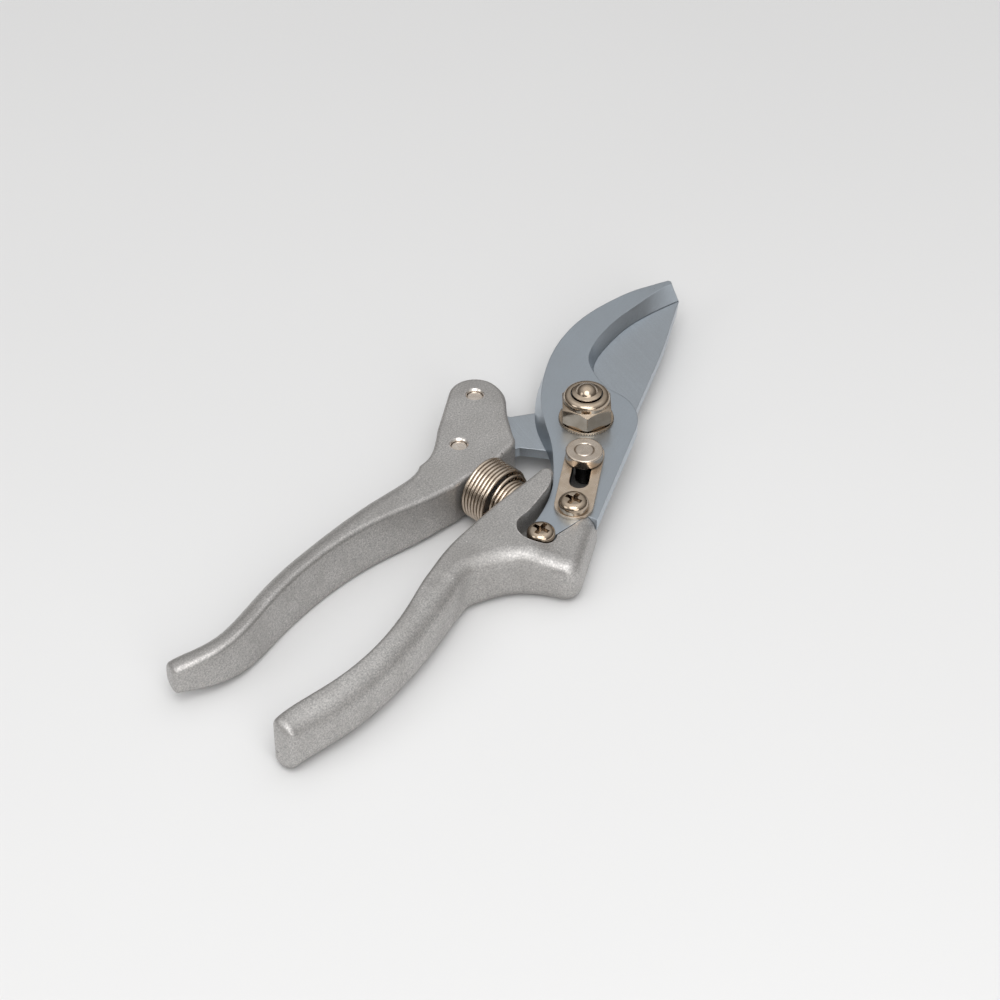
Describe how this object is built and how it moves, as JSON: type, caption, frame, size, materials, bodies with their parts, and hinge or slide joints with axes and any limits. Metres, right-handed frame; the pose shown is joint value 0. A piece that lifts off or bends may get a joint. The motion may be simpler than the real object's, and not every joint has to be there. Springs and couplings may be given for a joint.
{
  "type": "pruning shears",
  "caption": "Bypass pruning shears with a riveted cutting blade, a curved hook blade, sparkle-painted metal handles, a coil return spring and a sliding thumb catch.",
  "frame": {"origin": "on the pivot axis at the underside of the bolt head, the plane the closed shears lie on", "axes": "+X along the blades towards their tips, +Y towards the handle that carries the cutting blade, +Z along the pivot axis towards the nut"},
  "size_m": [0.2063, 0.0669, 0.0245],
  "materials": {
    "handle_paint": "satin sparkle paint",
    "blade_steel": "satin ground steel",
    "nickel": "polished nickel plate",
    "nickel_satin": "satin nickel plate",
    "spring_wire": "bright nickel wire",
    "black_nylon": "matte",
    "white_nylon": "matte"
  },
  "bodies": {
    "hook_side": {"hook_handle": "handle_paint", "hook_blade": "blade_steel", "pivot_bolt": "nickel", "bolt_washer": "nickel", "pivot_bush": "blade_steel", "lock_washer": "nickel", "pivot_nut": "nickel", "nut_insert": "white_nylon", "lock_plate": "nickel_satin", "lock_guide": "black_nylon", "lock_plate_screw": "nickel", "hook_screw": "nickel", "return_spring": "spring_wire"},
    "blade_side": {"blade_handle": "handle_paint", "cutting_blade": "blade_steel", "front_rivet": "nickel_satin", "rear_rivet": "nickel_satin"},
    "catch": {"lock_button": "nickel", "lock_pin": "nickel_satin", "lock_spring_washer": "nickel"}
  },
  "joints": [
    {"name": "blade_hinge", "type": "hinge", "parent": "hook_side", "child": "blade_side", "pos_m": [0, 0, 0.008], "axis": [0, 0, -1], "range_deg": [0, 32], "deforming": ["return_spring"]},
    {"name": "catch_slide", "type": "slide", "parent": "hook_side", "child": "catch", "axis": [0.9109, 0.4127, 0], "range_m": [-0.0098, 0.0031]}
  ]
}
